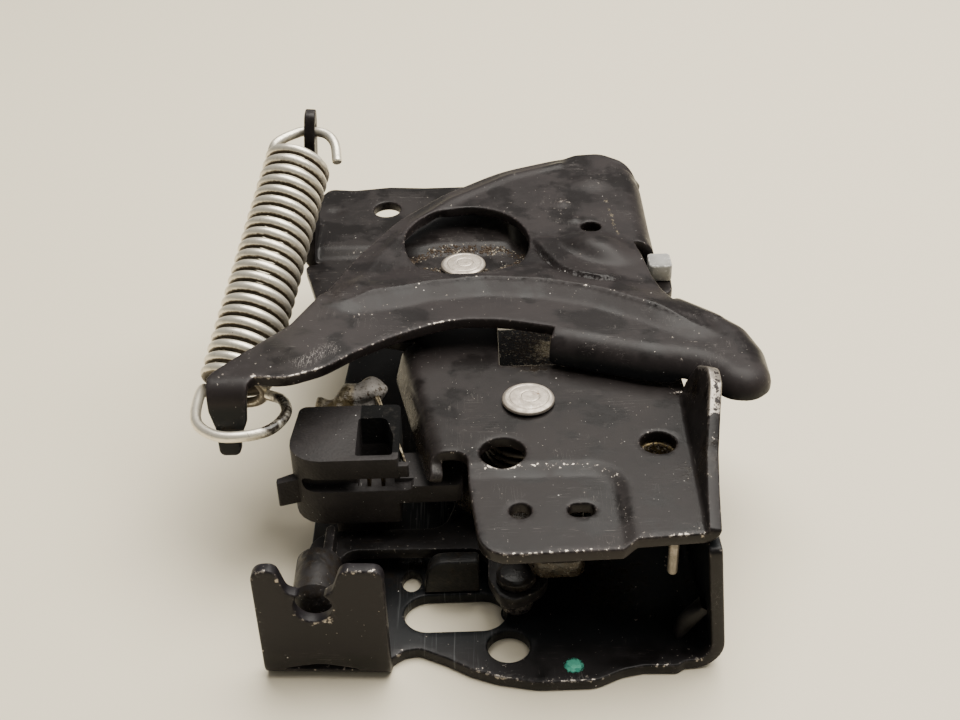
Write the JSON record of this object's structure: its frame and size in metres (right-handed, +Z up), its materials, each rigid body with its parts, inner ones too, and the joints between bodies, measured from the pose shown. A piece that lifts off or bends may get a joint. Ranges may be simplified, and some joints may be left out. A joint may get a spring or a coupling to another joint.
{
  "type": "bonnet latch",
  "caption": "Bonnet latch of folded black steel plates with a claw and pawl, a sprung pressed safety lever, a cable release lever and a switch housing.",
  "frame": {"origin": "centre of the bounding box's underside, on the face the base plate rests on", "axes": "+Z up from the base plate, +Y towards the tension spring's anchor end, +X towards the striker mouth and the folded wall"},
  "size_m": [0.1424, 0.1798, 0.0818],
  "materials": {
    "base_frame": "black e-coat, satin, worn to bright steel on edges",
    "main_plate": "black e-coat, satin, worn to bright steel on edges",
    "claw_rivet": "dull zinc plate",
    "pawl_rivet": "dull zinc plate",
    "release_rivet": "dull zinc plate",
    "claw_spacer_lower": "moulded black plastic",
    "claw_spacer_upper": "moulded black plastic",
    "pawl_spacer_lower": "moulded black plastic",
    "pawl_spacer_upper": "moulded black plastic",
    "stop_buffer": "light grey moulding",
    "tension_spring": "bright zinc wire",
    "claw_spring": "bright zinc wire",
    "pawl_spring": "bright zinc wire",
    "threaded_bush": "black, greasy",
    "stop_pin": "dull zinc plate",
    "switch_housing": "moulded black plastic",
    "contact_blade_1": "plain brass",
    "contact_blade_2": "plain brass",
    "guide_block": "moulded black plastic",
    "claw": "light grey zinc plate",
    "pawl": "black e-coat, satin, worn to bright steel on edges",
    "release_lever": "black e-coat, satin, worn to bright steel on edges",
    "safety_lever": "black e-coat, satin, worn to bright steel on edges",
    "lever_stud": "dull zinc plate",
    "lever_washer": "dull zinc plate",
    "switch_plunger": "light grey moulding"
  },
  "bodies": {
    "frame": {"base_frame": "base_frame", "main_plate": "main_plate", "claw_rivet": "claw_rivet", "pawl_rivet": "pawl_rivet", "release_rivet": "release_rivet", "claw_spacer_lower": "claw_spacer_lower", "claw_spacer_upper": "claw_spacer_upper", "pawl_spacer_lower": "pawl_spacer_lower", "pawl_spacer_upper": "pawl_spacer_upper", "stop_buffer": "stop_buffer", "tension_spring": "tension_spring", "claw_spring": "claw_spring", "pawl_spring": "pawl_spring", "threaded_bush": "threaded_bush", "stop_pin": "stop_pin", "switch_housing": "switch_housing", "contact_blade_1": "contact_blade_1", "contact_blade_2": "contact_blade_2", "guide_block": "guide_block"},
    "claw": {"claw": "claw"},
    "pawl": {"pawl": "pawl"},
    "release": {"release_lever": "release_lever"},
    "lever": {"safety_lever": "safety_lever", "lever_stud": "lever_stud", "lever_washer": "lever_washer"},
    "plunger": {"switch_plunger": "switch_plunger"}
  },
  "joints": [
    {"name": "claw_turn", "type": "hinge", "parent": "frame", "child": "claw", "pos_m": [0.01146, -0.03149, 0.016], "axis": [0, 0, 1], "range_deg": [0, 30], "stiffness_Nm_per_rad": 0.05, "springref_deg": -28.65, "deforming": ["claw_spring"]},
    {"name": "release_turn", "type": "hinge", "parent": "frame", "child": "release", "pos_m": [0.00696, -0.06519, 0.008], "axis": [0, 0, 1], "range_deg": [0, 7], "stiffness_Nm_per_rad": 0.1, "springref_deg": -17.19},
    {"name": "pawl_turn", "type": "hinge", "parent": "frame", "child": "pawl", "pos_m": [-0.00404, 0.03531, 0.016], "axis": [0, 0, 1], "range_deg": [-9, 0], "deforming": ["pawl_spring"]},
    {"name": "lever_turn", "type": "hinge", "parent": "frame", "child": "lever", "pos_m": [0.02396, 0.05031, 0.038], "axis": [0, 0, 1], "range_deg": [0, 12], "stiffness_Nm_per_rad": 2, "springref_deg": -11.46, "deforming": ["tension_spring"]},
    {"name": "plunger_press", "type": "slide", "parent": "frame", "child": "plunger", "axis": [0, 0, 1], "range_m": [0, 0.001], "stiffness_N_per_m": 200, "springref_m": -0.001}
  ],
  "couplings": [
    {"joint": "pawl_turn", "follows": "release_turn", "ratio": -1.2}
  ]
}
